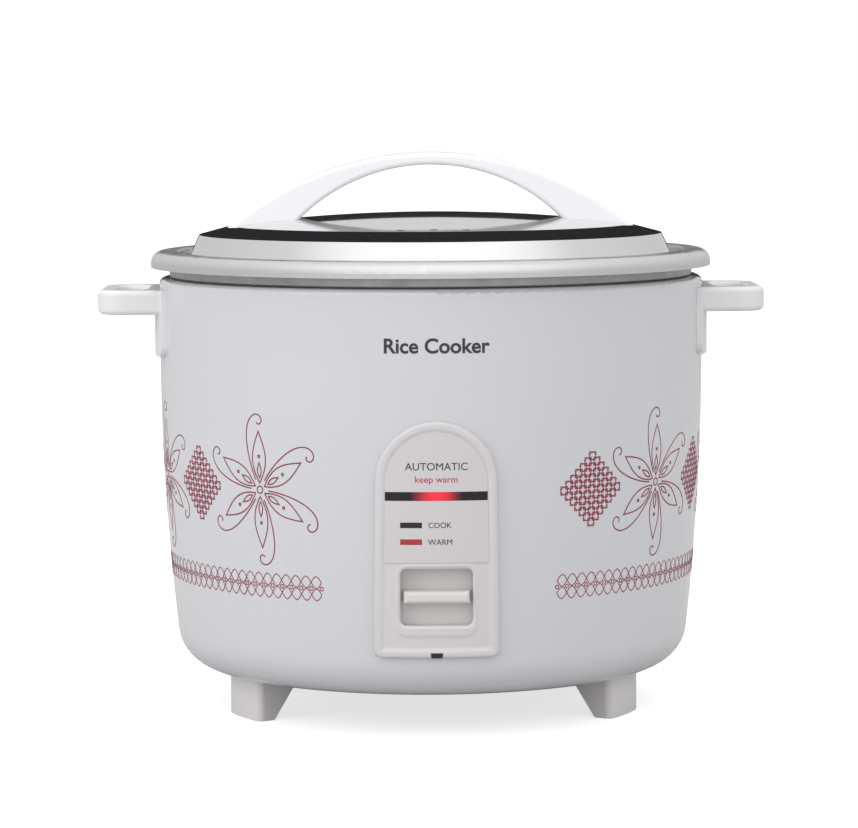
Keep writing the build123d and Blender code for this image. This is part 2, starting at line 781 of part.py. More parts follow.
with BuildPart() as lever_arm:
    with Locations((0, (lever_tip + lever_tail) / 2, lever_z)):
        Box(lever_width, lever_tail - lever_tip, lever_thickness)
    with Locations((0, pivot_y, lever_z)):
        Cylinder(barrel_radius, barrel_length, rotation=(0, 90, 0))
        Cylinder(pin_radius + pin_clearance, barrel_length, rotation=(0, 90, 0), mode=Mode.SUBTRACT)
    with BuildSketch(Plane.XY.offset(lever_z)):
        SlotCenterToCenter(2 * lever_tail, 2 * (rod_radius + lever_play), rotation=90)
        with Locations((0, -lever_tail)):
            Rectangle(lever_width, 2 * lever_tail - 8, mode=Mode.SUBTRACT)
    extrude(amount=lever_thickness, both=True, mode=Mode.SUBTRACT)
lever_arm.part.label = "lever_arm"
export_step(lever_arm.part, "parts/lever_arm.step")

pin_end = ear_x + strap_thickness
with BuildPart() as lever_pin:
    with Locations((0, pivot_y, lever_z)):
        Cylinder(pin_radius, 2 * pin_end + 3, rotation=(0, 90, 0))
    with Locations((-pin_end - 0.9, pivot_y, lever_z), (pin_end + 0.9, pivot_y, lever_z)):
        Cylinder(pin_radius + 1.2, 1.2, rotation=(0, 90, 0))
lever_pin.part.label = "lever_pin"
export_step(lever_pin.part, "parts/lever_pin.step")

plunger_top = lever_z - lever_thickness / 2 - 0.25
with BuildPart() as microswitch_plunger:
    with Locations((0, plunger_y, plunger_top)):
        Box(2.4, 3.0, plunger_top - switch_top + 3, align=ON_TOP)
    fillet(microswitch_plunger.edges().filter_by(Axis.X).group_by(Axis.Z)[-1], 1.2)
microswitch_plunger.part.label = "microswitch_plunger"
export_step(microswitch_plunger.part, "parts/microswitch_plunger.step")

with BuildPart() as microswitch:
    with Locations((0, switch_y, switch_top)):
        Box(2 * switch_tab, 20, 10.4, align=ON_TOP)
    with Locations((0, plunger_y, switch_top)):
        Box(2.6, 3.2, 9.0, mode=Mode.SUBTRACT, align=(Align.CENTER, Align.CENTER, Align.CENTER))
    with Locations((0, switch_y - 5, switch_top - 7), (0, switch_y + 5, switch_top - 7)):
        Cylinder(1.2, 4 * switch_tab, rotation=(0, 90, 0), mode=Mode.SUBTRACT)
    with Locations(*[(0, switch_y + n * 7, switch_top - 10.4) for n in (-1, 0, 1)]):
        Box(3.2, 0.6, 5, align=ON_TOP)
microswitch.part.label = "microswitch"
export_step(microswitch.part, "parts/microswitch.step")

switch_heads = [Plane(origin=(-switch_tab, switch_y + y, switch_top - 7), z_dir=(-1, 0, 0)) for y in (-5, 5)]
switch_screws = screws(switch_heads, 2.0, 1.4, 1.0, 2 * switch_tab + 2.6)
switch_screws.label = "microswitch_screws"
export_step(switch_screws, "parts/microswitch_screws.step")

# ---------------------------------------------------------------- switch knob

plate_low = window_z - window_height / 2 - 1.7
plate_high = window_z + window_height / 2 + knob_travel + 1.2
knob_fork = lever_thickness / 2 + lever_play
rib_front = knob_front - 8.2

with BuildPart() as switch_knob:
    add(front_block(0, (plate_low + plate_high) / 2, knob_width, plate_high - plate_low, -knob_back, -knob_front))
    add(front_block(0, (plate_low + lever_z - knob_fork - 1.5) / 2, 18, plate_low - lever_z + knob_fork + 1.5,
                    -knob_back, -knob_front))
    for side in (-1, 1):
        fork_z = lever_z + side * (knob_fork + 0.75)
        add(front_block(0, fork_z, 18, 1.5, -knob_back - 7.5, -knob_back))
    add(front_block(0, window_z, rib_width, rib_height, -knob_front, -rib_front))
    front_edges = switch_knob.faces().sort_by(Axis.Y)[0].edges()
    fillet(front_edges, 1.8)
switch_knob.part.label = "switch_knob"
export_step(switch_knob.part, "parts/switch_knob.step")

# ---------------------------------------------------------------- control panel

dash_spots = [(dash_centre, shell_bottom + level) for level in (cook_level, warm_level)]
bar_z = shell_bottom + bar_level
frame_half = window_width / 2 + window_frame
frame_low = window_z - window_height / 2 - 5.0
frame_high = window_z + window_height / 2 + window_frame

with BuildPart() as face_recess:
    extrude(tombstone(panel_rim), amount=front_reach, dir=FRONT)
    add(drum_face, mode=Mode.SUBTRACT)
    frame_z = (frame_low + frame_high) / 2
    add(front_block(0, frame_z, 2 * frame_half, frame_high - frame_low, 0, front_reach), mode=Mode.SUBTRACT)

with BuildPart() as control_panel:
    extrude(tombstone(0), amount=front_reach, dir=FRONT)
    add(drum_panel, mode=Mode.INTERSECT)
    add(drum_outside, mode=Mode.SUBTRACT)
    add(face_recess.part, mode=Mode.SUBTRACT)
    tunnel_width = window_width + 2 * tunnel_wall
    tunnel_height = window_height + 2 * tunnel_wall
    add(front_block(0, window_z, tunnel_width, tunnel_height, -tunnel_end, -tunnel_end + 7))
    for side in (-1, 1):
        rail_x = side * (knob_width / 2 + 0.4 + tunnel_wall / 2)
        rail_z = window_z - 1.0
        add(front_block(rail_x, rail_z, tunnel_wall, window_height, -knob_back - 0.4, -tunnel_end + 4))
        add(front_block(rail_x - side * 1.5, rail_z, 4.5, window_height, -knob_back - 1.6, -knob_back - 0.4))
    with BuildSketch(Plane.XZ.offset(-screw_seat)):
        with Locations(*lower_bosses):
            Circle(screw_boss)
    extrude(amount=3.2)
    with BuildSketch(Plane.XZ.offset(-screw_seat + 1.5)):
        with Locations(*upper_bosses):
            Circle(screw_boss)
    extrude(amount=9)
    for spots, length in ((lower_bosses, lower_screw), (upper_bosses, upper_screw)):
        with BuildSketch(Plane.XZ.offset(-screw_seat)):
            with Locations(*spots):
                Circle(1.25)
        extrude(amount=length + 0.4, mode=Mode.SUBTRACT)
    add(front_block(0, window_z, window_width, window_height, -tunnel_end - 1, front_reach), mode=Mode.SUBTRACT)
    bar_slot = front_block(0, bar_z, bar_width + 2 * lens_fit, bar_height + 2 * lens_fit, 100, front_reach)
    add(bar_slot, mode=Mode.SUBTRACT)
    for x, z in dash_spots:
        dash_slot = front_block(x, z, dash_width + 2 * lens_fit, dash_height + 2 * lens_fit, 100, front_reach)
        add(dash_slot, mode=Mode.SUBTRACT)
    add(front_block(0, panel_bottom, 5.0, 5.0, 100, front_reach), mode=Mode.SUBTRACT)
control_panel.part.label = "control_panel"
export_step(control_panel.part, "parts/control_panel.step")

with BuildPart() as panel_label:
    extrude(tombstone(panel_rim + 0.3), amount=front_reach, dir=FRONT)
    add(drum_label, mode=Mode.INTERSECT)
    add(drum_face, mode=Mode.SUBTRACT)
    label_z = shell_bottom + label_bottom
    add(front_block(0, label_z - 50, 100, 100, 0, front_reach), mode=Mode.SUBTRACT)
    add(bar_slot, mode=Mode.SUBTRACT)
    for x, z in dash_spots:
        dash_slot = front_block(x, z, dash_width + 2 * lens_fit, dash_height + 2 * lens_fit, 100, front_reach)
        add(dash_slot, mode=Mode.SUBTRACT)
panel_label.part.label = "panel_label"
export_step(panel_label.part, "parts/panel_label.step")

lens_back = drum(-0.4)
lenses = {
    "indicator_lens": (0, bar_z, bar_width, bar_height),
    "cook_lens": (*dash_spots[0], dash_width, dash_height),
    "warm_lens": (*dash_spots[1], dash_width, dash_height),
}
for name, (x, z, width, height) in lenses.items():
    with BuildPart() as lens:
        add(front_block(x, z, width, height, 100, front_reach))
        add(drum_label, mode=Mode.INTERSECT)
        add(lens_back, mode=Mode.SUBTRACT)
    lens.part.label = name
    export_step(lens.part, f"parts/{name}.step")

with BuildPart() as panel_clip:
    add(front_block(0, panel_bottom + 1.15, 4.8, 2.3, 100, front_reach))
    add(drum_face, mode=Mode.INTERSECT)
    add(drum_outside, mode=Mode.SUBTRACT)
panel_clip.part.label = "panel_clip"
export_step(panel_clip.part, "parts/panel_clip.step")

with BuildPart() as panel_screws:
    for spots, length in ((lower_bosses, lower_screw), (upper_bosses, upper_screw)):
        heads = [Plane(origin=(x, screw_seat, z), z_dir=(0, 1, 0)) for x, z in spots]
        add(screws(heads, 3.0, 2.0, 1.25, length))
panel_screws.part.label = "panel_screws"
export_step(panel_screws.part, "parts/panel_screws.step")

# ---------------------------------------------------------------- lamps behind the panel

holder_low = plate_high + 0.6
holder_high = bar_z + 4.2
lamp_spots = {
    "pilot_lamp": (0, bar_z),
    "cook_lamp": dash_spots[0],
    "warm_lamp": dash_spots[1],
}
ear_x_reach, ear_rise = upper_boss[0], shell_bottom + upper_boss[1]

with BuildPart() as lamp_holder:
    holder_z = (holder_low + holder_high) / 2
    add(front_block(-2, holder_z, 28, holder_high - holder_low, -screw_seat, -screw_seat + 6.4))
    add(front_block(0, holder_high + 1, 46, 6, -screw_seat, -screw_seat + 1.5))
    for side in (-1, 1):
        add(front_block(side * ear_x_reach, (holder_high + ear_rise) / 2 + 2, 7, ear_rise - holder_high + 4,
                        -screw_seat, -screw_seat + 1.5))
    with BuildSketch(Plane.XZ.offset(-screw_seat)):
        with Locations((-ear_x_reach, ear_rise), (ear_x_reach, ear_rise)):
            Circle(1.65)
    extrude(amount=3, mode=Mode.SUBTRACT)
    with BuildSketch(Plane.XZ.offset(-screw_seat + 1)):
        with Locations(*lamp_spots.values()):
            Circle(2.35)
    extrude(amount=10, mode=Mode.SUBTRACT)
lamp_holder.part.label = "lamp_holder"
export_step(lamp_holder.part, "parts/lamp_holder.step")

for name, (x, z) in lamp_spots.items():
    with BuildPart() as lamp:
        with BuildSketch(Plane.XZ.offset(-screw_seat + 1)):
            with Locations((x, z)):
                Circle(2.2)
        extrude(amount=5.2)
        fillet(lamp.edges().filter_by(GeomType.CIRCLE).sort_by(Axis.Y)[0], 1.6)
    lamp.part.label = name
    export_step(lamp.part, f"parts/{name}.step")

# ---------------------------------------------------------------- power inlet

inlet_front = shell_radius + inlet_face
socket_floor = inlet_front - inlet_depth
socket_back = socket_floor - 4.0

with BuildPart() as inlet_housing:
    with BuildSketch(Plane.XZ.offset(-inlet_front)):
        with Locations((0, inlet_z)):
            RectangleRounded(inlet_flange, socket_height + 6, 5)
    extrude(amount=9)
    add(drum_outside, mode=Mode.SUBTRACT)
    with BuildSketch(Plane.XZ.offset(-inlet_front)):
        with Locations((0, inlet_z)):
            Rectangle(socket_width, socket_height)
    extrude(amount=inlet_front - socket_back)
    with BuildSketch(Plane.XZ.offset(-inlet_front)):
        with Locations((0, inlet_z)):
            Rectangle(inlet_width, inlet_height)
            chamfer(vertices().group_by(Axis.Y)[-1], inlet_corner)
    extrude(amount=inlet_depth, mode=Mode.SUBTRACT)
    with BuildSketch(Plane.XZ.offset(-inlet_front)):
        with Locations((-inlet_screw_spread, inlet_z), (inlet_screw_spread, inlet_z)):
            Circle(1.65)
        with Locations((-blade_pitch, inlet_z - 1), (blade_pitch, inlet_z - 1), (0, inlet_z + 3)):
            Rectangle(2.0, 4.0)
    extrude(amount=front_reach, mode=Mode.SUBTRACT)
inlet_housing.part.label = "inlet_housing"
export_step(inlet_housing.part, "parts/inlet_housing.step")

blades = {
    "inlet_power_pins": ((-blade_pitch, inlet_z - 1), (blade_pitch, inlet_z - 1)),
    "inlet_earth_pin": ((0, inlet_z + 3),),
}
for name, spots in blades.items():
    with BuildPart() as pins:
        with BuildSketch(Plane.XZ.offset(-socket_back + 8)):
            with Locations(*spots):
                Rectangle(2.0, 4.0)
        extrude(amount=-(inlet_front - 3 - socket_back + 8))
        chamfer(pins.faces().group_by(Axis.Y)[-1].edges(), 0.5)
    pins.part.label = name
    export_step(pins.part, f"parts/{name}.step")

inlet_heads = [Plane(origin=(side * inlet_screw_spread, inlet_front, inlet_z), z_dir=(0, 1, 0)) for side in (-1, 1)]
inlet_screws = screws(inlet_heads, 3.0, 1.8, 1.45, 10)
inlet_screws.label = "inlet_screws"
export_step(inlet_screws, "parts/inlet_screws.step")

# ---------------------------------------------------------------- fuse, second thermostat, terminals

fuse_y = 46.0
fuse_z = plate_bottom - 3.2
with BuildPart() as thermal_fuse:
    with Locations((0, fuse_y, fuse_z)):
        Cylinder(2.0, 15, rotation=(0, 90, 0))
        Cylinder(0.5, 30, rotation=(0, 90, 0))
thermal_fuse.part.label = "thermal_fuse"
export_step(thermal_fuse.part, "parts/thermal_fuse.step")

with BuildPart() as fuse_clip:
    with BuildSketch(Plane.YZ):
        with Locations((fuse_y, fuse_z)):
            Circle(3.0)
        with Locations((fuse_y, plate_bottom)):
            Rectangle(6.0, plate_bottom - fuse_z, align=(Align.CENTER, Align.MAX))
    extrude(amount=4, both=True)
    with BuildSketch(Plane.XY.offset(plate_bottom)):
        with Locations((0, fuse_y)):
            Rectangle(36, 8)
    extrude(amount=-0.8)
    with BuildSketch(Plane.YZ):
        with Locations((fuse_y, fuse_z)):
            Circle(2.1)
    extrude(amount=20, both=True, mode=Mode.SUBTRACT)
    with Locations((-14, fuse_y, plate_bottom), (14, fuse_y, plate_bottom)):
        Cylinder(1.65, 4, mode=Mode.SUBTRACT)
fuse_clip.part.label = "fuse_clip"
export_step(fuse_clip.part, "parts/fuse_clip.step")

with BuildPart() as warm_thermostat:
    with Locations((-42, 0, plate_bottom)):
        Cylinder(8, 9, align=ON_TOP)
        Box(5, 36, 0.8, align=ON_TOP)
        Cylinder(6.5, 11, align=ON_TOP)
    with Locations((-42, -14, plate_bottom), (-42, 14, plate_bottom)):
        Cylinder(4, 0.8, align=ON_TOP)
        Cylinder(1.65, 4, mode=Mode.SUBTRACT)
    with Locations((-42, -4.5, plate_bottom - 11), (-42, 4.5, plate_bottom - 11)):
        Box(6.3, 0.8, 4, align=ON_TOP)
warm_thermostat.part.label = "warm_thermostat"
export_step(warm_thermostat.part, "parts/warm_thermostat.step")

clip_spots = [(-14, fuse_y), (14, fuse_y), (-42, -14), (-42, 14)]
clip_heads = [Plane(origin=(x, y, plate_bottom - 0.8), z_dir=(0, 0, -1)) for x, y in clip_spots]
clip_screws = screws(clip_heads, 2.8, 1.8, 1.25, 6)
clip_screws.label = "clip_screws"
export_step(clip_screws, "parts/clip_screws.step")

block_y = 52.0
with BuildPart() as terminal_block:
    with Locations((0, block_y, strap_top)):
        Box(24, 16, 12, align=ON_BASE)
    fillet(terminal_block.edges().filter_by(Axis.Z), 1.5)
    with Locations((-8, block_y, strap_top), (8, block_y, strap_top)):
        Cylinder(1.65, 30, mode=Mode.SUBTRACT)
    for x in (-8, 0, 8):
        with Locations((x, block_y, strap_top + 7.5)):
            Cylinder(1.9, 16, rotation=(90, 0, 0), mode=Mode.SUBTRACT)
terminal_block.part.label = "terminal_block"
export_step(terminal_block.part, "parts/terminal_block.step")


def wire(name, points, bends, radius):
    """An insulated wire along straight runs with round bends."""
    with BuildPart() as lead:
        with BuildLine() as route:
            FilletPolyline(*points, radius=bends)
        with BuildSketch(Plane(origin=route.line @ 0, z_dir=route.line % 0)):
            Circle(radius)
        sweep()
    lead.part.label = name
    export_step(lead.part, f"parts/{name}.step")


block_z = strap_top + 7.5
block_back = block_y + 8.2
tail_y = socket_back - 8
leads = {
    "live_wire": (blade_pitch, inlet_z - 1),
    "neutral_wire": (-blade_pitch, inlet_z - 1),
    "earth_wire": (0, inlet_z + 3),
}
for name, (x, z) in leads.items():
    middle_x = x * 8 / blade_pitch
    route = ((middle_x, block_back, block_z), (middle_x, 74, block_z), (x, 90, z), (x, tail_y, z))
    wire(name, route, 7, 1.4)
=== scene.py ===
import json
import math

import bpy
from mathutils import Matrix, Vector


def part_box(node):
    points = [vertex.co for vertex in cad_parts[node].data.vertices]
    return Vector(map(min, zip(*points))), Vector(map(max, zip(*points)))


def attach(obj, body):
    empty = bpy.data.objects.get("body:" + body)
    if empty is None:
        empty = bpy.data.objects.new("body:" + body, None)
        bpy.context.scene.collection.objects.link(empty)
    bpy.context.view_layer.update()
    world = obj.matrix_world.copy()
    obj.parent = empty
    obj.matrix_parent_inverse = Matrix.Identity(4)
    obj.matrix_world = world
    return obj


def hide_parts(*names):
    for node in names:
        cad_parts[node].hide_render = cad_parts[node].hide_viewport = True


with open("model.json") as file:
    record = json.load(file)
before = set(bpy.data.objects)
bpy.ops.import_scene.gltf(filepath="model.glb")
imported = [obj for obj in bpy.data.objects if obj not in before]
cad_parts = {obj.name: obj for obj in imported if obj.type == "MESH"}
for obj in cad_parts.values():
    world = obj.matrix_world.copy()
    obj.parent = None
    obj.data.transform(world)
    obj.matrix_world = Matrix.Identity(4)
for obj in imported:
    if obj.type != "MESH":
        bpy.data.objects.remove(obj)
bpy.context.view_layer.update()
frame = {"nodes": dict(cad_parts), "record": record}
bpy.ops.object.select_all(action="DESELECT")

MM = 0.001

# ------------------------------------------------------------------ camera

CAMERA_DISTANCE = 1.7477
CAMERA_HEIGHT = 0.29735
CAMERA_TURN = math.radians(-0.9)
CAMERA_PITCH = math.radians(5.128)
CAMERA_ROLL = math.radians(-0.31)
LENS = 151.1
LENS_SHIFT = -0.0027
FILM_WIDTH = 36.0


def add_camera():
    """A long lens at the front, a little above the lid and looking slightly down."""
    place = (
        CAMERA_DISTANCE * math.sin(CAMERA_TURN),
        -CAMERA_DISTANCE * math.cos(CAMERA_TURN),
        CAMERA_HEIGHT,
    )
    bpy.ops.object.camera_add()
    camera = bpy.context.object
    camera.name = "camera"
    camera.data.lens = LENS
    camera.data.sensor_width = FILM_WIDTH
    camera.data.shift_x = LENS_SHIFT
    camera.matrix_world = (
        Matrix.Translation(place)
        @ Matrix.Rotation(CAMERA_TURN, 4, "Z")
        @ Matrix.Rotation(math.pi / 2 - CAMERA_PITCH, 4, "X")
        @ Matrix.Rotation(CAMERA_ROLL, 4, "Z")
    )
    bpy.context.scene.camera = camera


add_camera()

# ------------------------------------------------------------------ materials


SURFACE_DEPTH = 0.0001  # how deep a finish's fine relief goes


def new_material(name):
    """A new node material: returns it, its node tree and its shader."""
    material = bpy.data.materials.new(name)
    material.use_nodes = True
    tree = material.node_tree
    shader = tree.nodes["Principled BSDF"]
    return material, tree, shader


def noise(tree, scale, detail=3.0, stretch=(1, 1, 1)):
    """Noise on the object's own coordinates, in cells per metre."""
    place = tree.nodes.new("ShaderNodeTexCoord")
    mapping = tree.nodes.new("ShaderNodeMapping")
    mapping.inputs["Scale"].default_value = stretch
    grain = tree.nodes.new("ShaderNodeTexNoise")
    grain.inputs["Scale"].default_value = scale
    grain.inputs["Detail"].default_value = detail
    tree.links.new(place.outputs["Object"], mapping.inputs["Vector"])
    tree.links.new(mapping.outputs["Vector"], grain.inputs["Vector"])
    return grain.outputs["Fac"]


def blend_colours(tree, factor, first, second):
    """A colour between two, by a factor."""
    mix = tree.nodes.new("ShaderNodeMix")
    mix.data_type = "RGBA"
    mix.inputs[6].default_value = (*first, 1)
    mix.inputs[7].default_value = (*second, 1)
    tree.links.new(factor, mix.inputs[0])
    return mix.outputs[2]


def spread(tree, value, low, high):
    """Stretches the middle of a noise value to a range."""
    scale = tree.nodes.new("ShaderNodeMapRange")
    scale.inputs["From Min"].default_value = 0.3
    scale.inputs["From Max"].default_value = 0.7
    scale.inputs["To Min"].default_value = low
    scale.inputs["To Max"].default_value = high
    tree.links.new(value, scale.inputs["Value"])
    return scale.outputs["Result"]


def bump(tree, shader, height, strength):
    """Raises the surface by a height value."""
    node = tree.nodes.new("ShaderNodeBump")
    node.inputs["Strength"].default_value = strength
    node.inputs["Distance"].default_value = SURFACE_DEPTH
    tree.links.new(height, node.inputs["Height"])
    tree.links.new(node.outputs["Normal"], shader.inputs["Normal"])


def plastic(name, colour, rough, coat=0.0, grain=900, relief=0.08, tint=0.03):
    """Moulded plastic or enamel: faint mottling, uneven gloss and a fine surface."""
    material, tree, shader = new_material(name)
    cloudy = noise(tree, 14, 4)
    darker = tuple(c * (1 - tint) for c in colour)
    lighter = tuple(min(1, c * (1 + tint)) for c in colour)
    tree.links.new(blend_colours(tree, cloudy, darker, lighter), shader.inputs["Base Color"])
    gloss = spread(tree, noise(tree, 60, 2), rough * 0.94, rough * 1.06)
    tree.links.new(gloss, shader.inputs["Roughness"])
    bump(tree, shader, noise(tree, grain, 2), relief)
    shader.inputs["Coat Weight"].default_value = coat
    shader.inputs["Coat Roughness"].default_value = 0.06
    shader.inputs["IOR"].default_value = 1.5
    return material


def metal(name, colour, rough, stretch=(1, 1, 1), grain=300, relief=0.06, tint=0.06):
    """Bare or plated metal, with a grain that can be drawn out along an axis."""
    material, tree, shader = new_material(name)
    shader.inputs["Metallic"].default_value = 1.0
    cloudy = noise(tree, 30, 4, stretch)
    darker = tuple(c * (1 - tint) for c in colour)
    lighter = tuple(min(1, c * (1 + tint)) for c in colour)
    tree.links.new(blend_colours(tree, cloudy, darker, lighter), shader.inputs["Base Color"])
    gloss = spread(tree, noise(tree, 90, 5, stretch), rough * 0.8, rough * 1.25)
    tree.links.new(gloss, shader.inputs["Roughness"])
    bump(tree, shader, noise(tree, grain, 3, stretch), relief)
    return material


GLOW_CORE = 0.001
GLOW_REACH = 0.0125


def glowing(name, colour, glow, strength):
    """A tinted lens that is brightest in the middle, where a lamp stands behind it."""
    material, tree, shader = new_material(name)
    place = tree.nodes.new("ShaderNodeTexCoord")
    split = tree.nodes.new("ShaderNodeSeparateXYZ")
    away = tree.nodes.new("ShaderNodeMath")
    away.operation = "ABSOLUTE"
    fade = tree.nodes.new("ShaderNodeMapRange")
    fade.interpolation_type = "SMOOTHSTEP"
    fade.inputs["From Min"].default_value = GLOW_CORE
    fade.inputs["From Max"].default_value = GLOW_REACH
    fade.inputs["To Min"].default_value = 1.0
    fade.inputs["To Max"].default_value = 0.0
    tree.links.new(place.outputs["Object"], split.inputs["Vector"])
    tree.links.new(split.outputs["X"], away.inputs[0])
    tree.links.new(away.outputs[0], fade.inputs["Value"])
    lit = blend_colours(tree, fade.outputs["Result"], (0, 0, 0), glow)
    tree.links.new(blend_colours(tree, fade.outputs["Result"], colour, glow), shader.inputs["Base Color"])
    tree.links.new(lit, shader.inputs["Emission Color"])
    shader.inputs["Emission Strength"].default_value = strength
    shader.inputs["Roughness"].default_value = 0.18
    bump(tree, shader, noise(tree, 700, 2), 0.05)
    return material


def lamp_glass(name):
    """Thin glass round a neon lamp, tinted orange as a painted glow of the lit neon."""
    material, tree, shader = new_material(name)
    # Painted glow: the orange colour stands in for the neon's light, not the colour of the clear glass.
    tint = blend_colours(tree, noise(tree, 200, 2), (0.95, 0.45, 0.25), (1.0, 0.62, 0.4))
    tree.links.new(tint, shader.inputs["Base Color"])
    shader.inputs["Roughness"].default_value = 0.08
    shader.inputs["Transmission Weight"].default_value = 0.6
    return material


FINISHES = {
    "white_body": plastic(
        "white_enamel", (0.60, 0.603, 0.632), 0.34, coat=1.0, relief=0.01, tint=0.006),
    "white_plastic": plastic("white_moulding", (0.865, 0.86, 0.89), 0.3, grain=1200, relief=0.05, tint=0.012),
    "panel_plastic": plastic("panel_moulding", (0.62, 0.595, 0.61), 0.3, grain=1400, relief=0.06, tint=0.012),
    "label_film": plastic("label_film", (0.60, 0.575, 0.585), 0.42, grain=1800, relief=0.05, tint=0.012),
    "foot_plastic": plastic("foot_moulding", (0.70, 0.675, 0.675), 0.45, grain=1500, relief=0.15),
    "black_plastic": plastic("black_moulding", (0.018, 0.018, 0.02), 0.4, grain=1400, relief=0.15, tint=0.2),
    "knob_plastic": plastic("knob_moulding", (0.65, 0.62, 0.61), 0.3, grain=1200, relief=0.05),
    "stainless": metal("polished_stainless", (0.74, 0.74, 0.75), 0.05, grain=40, relief=0.004, tint=0.01),
    "pan_aluminium": metal(
        "anodised_aluminium", (0.69, 0.695, 0.69), 0.33, stretch=(1, 1, 9), grain=900,
        relief=0.006, tint=0.015),
    "plate_aluminium": metal("turned_aluminium", (0.60, 0.60, 0.61), 0.38, relief=0.1),
    "liner_steel": metal("galvanised_steel", (0.42, 0.42, 0.43), 0.42, relief=0.1),
    # Painted shade: the steel base cover is coloured near-black so that it stays as dark as the shade beneath
    # the cooker.
    "base_steel": plastic("base_shade_black", (0.03, 0.03, 0.035), 0.35, grain=800, relief=0.1, tint=0.2),
    "zinc_steel": metal("zinc_plate", (0.58, 0.58, 0.55), 0.32),
    "spring_steel": metal("spring_wire", (0.45, 0.45, 0.46), 0.3),
    "ferrite": plastic("ferrite", (0.05, 0.05, 0.055), 0.55, relief=0.3, tint=0.2),
    "ceramic": plastic("ceramic", (0.78, 0.75, 0.66), 0.5, relief=0.2),
    "brass": metal("brass", (0.72, 0.55, 0.24), 0.25),
    "dark_lens": glowing("bar_lens", (0.006, 0.004, 0.008), (0.62, 0.02, 0.035), 0.55),
    "red_lens": plastic("red_lens", (0.38, 0.035, 0.04), 0.2, relief=0.03),
    "lamp_glass": lamp_glass("lamp_glass"),
    "live_sleeve": plastic("live_sleeve", (0.24, 0.09, 0.035), 0.45),
    "neutral_sleeve": plastic("neutral_sleeve", (0.04, 0.12, 0.42), 0.45),
    "earth_sleeve": plastic("earth_sleeve", (0.14, 0.34, 0.06), 0.45),
}
LEGEND_INK = plastic("legend_ink", (0.035, 0.03, 0.045), 0.4, tint=0.1)
PRINT_INK = plastic("print_ink", (0.31, 0.05, 0.09), 0.4, tint=0.12, grain=1500)
TITLE_INK = plastic("title_ink", (0.42, 0.02, 0.05), 0.4, tint=0.1, grain=1500)
HANDLE_MOULDING = plastic("handle_moulding", (0.735, 0.73, 0.745), 0.3, grain=1200, relief=0.05, tint=0.012)
DARK_DASH = plastic("dark_dash", (0.02, 0.012, 0.02), 0.25, tint=0.2)


def wear(piece, material):
    """Gives a piece one material."""
    piece.data.materials.clear()
    piece.data.materials.append(material)


def dress_cad_nodes():
    """Every carried-over node takes the finish of its slot."""
    for part in frame["record"]["subparts"]:
        material = FINISHES[part["material_slot"]]
        node = frame["nodes"][part["node"]]
        if not node.data.materials:
            node.data.materials.append(material)
        for place in node.material_slots:
            place.material = material
    special = {
        "cook_lens": DARK_DASH,
        "left_side_handle": HANDLE_MOULDING,
        "right_side_handle": HANDLE_MOULDING,
    }
    for node, material in special.items():
        for place in frame["nodes"][node].material_slots:
            place.material = material


dress_cad_nodes()

# ------------------------------------------------------------------ shapes that wrap the drum

SHELL_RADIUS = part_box("body_shell")[1].x
BELLY_RADIUS = 1.265
BELLY_HEIGHT = 0.175
PRINT_RISE = 0.00003
INK_THICKNESS = 0.0001
LABEL_PROUD = 0.0026


def drum_radius(height):
    """Outside radius of the drum at a height."""
    drop = max(0.0, BELLY_HEIGHT - height)
    return SHELL_RADIUS - BELLY_RADIUS + math.sqrt(BELLY_RADIUS**2 - drop**2)


def wrap(piece, proud):
    """Bends a flat drawing round the drum: x runs round it, y up it and z out of it."""
    for corner in piece.data.vertices:
        along, height, out = corner.co
        reach = drum_radius(height) + proud + out
        turn = along / SHELL_RADIUS
        corner.co = (reach * math.sin(turn), -reach * math.cos(turn), height)
    piece.data.update()


def belongs(piece, body, slot, *nodes):
    """The body that a piece rides on, its finish's slot (not used), and the nodes that it stands for."""
    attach(piece, body)
    if nodes:
        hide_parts(*nodes)


def ink_lines(name, strokes, width, material):
    """Printed lines as thin ribbons; a stroke is points in millimetres and whether it closes."""
    drawing = bpy.data.curves.new(name, "CURVE")
    drawing.dimensions = "2D"
    drawing.fill_mode = "NONE"
    drawing.bevel_depth = width / 2
    drawing.bevel_resolution = 0
    drawing.use_fill_caps = True
    for points, closed in strokes:
        line = drawing.splines.new("POLY")
        line.points.add(len(points) - 1)
        line.use_cyclic_u = closed
        for spot, (x, y) in zip(line.points, points):
            spot.co = (x * MM, y * MM, 0, 1)
    piece = bpy.data.objects.new(name, drawing)
    bpy.context.collection.objects.link(piece)
    bpy.ops.object.select_all(action="DESELECT")
    piece.select_set(True)
    bpy.context.view_layer.objects.active = piece
    bpy.ops.object.convert(target="MESH")
    piece = bpy.context.object
    for corner in piece.data.vertices:
        corner.co.z *= INK_THICKNESS / width
    wrap(piece, PRINT_RISE)
    wear(piece, material)
    belongs(piece, "housing", "white_body")
    piece.select_set(False)
    return piece


def lettering(name, words, middle, height, width, proud, slot, material, weight=0.0):
    """Raised printed words, centred on a place in millimetres and scaled to a width."""
    bpy.ops.object.text_add()
    text = bpy.context.object
    text.name = name
    text.data.body = words
    text.data.align_x = "CENTER"
    text.data.align_y = "CENTER"
    text.data.extrude = 0.02
    text.data.offset = weight
    bpy.ops.object.convert(target="MESH")
    piece = bpy.context.object
    low = min(corner.co.x for corner in piece.data.vertices)
    high = max(corner.co.x for corner in piece.data.vertices)
    floor = min(corner.co.y for corner in piece.data.vertices)
    top = max(corner.co.y for corner in piece.data.vertices)
    scale = width * MM / (high - low)
    for corner in piece.data.vertices:
        x = (corner.co.x - (low + high) / 2) * scale + middle * MM
        y = (corner.co.y - (floor + top) / 2) * scale + height * MM
        corner.co = (x, y, math.copysign(INK_THICKNESS / 2, corner.co.z))
    wrap(piece, proud)
    wear(piece, material)
    belongs(piece, "housing", slot)
    piece.select_set(False)
    return piece


# ------------------------------------------------------------------ printed pattern

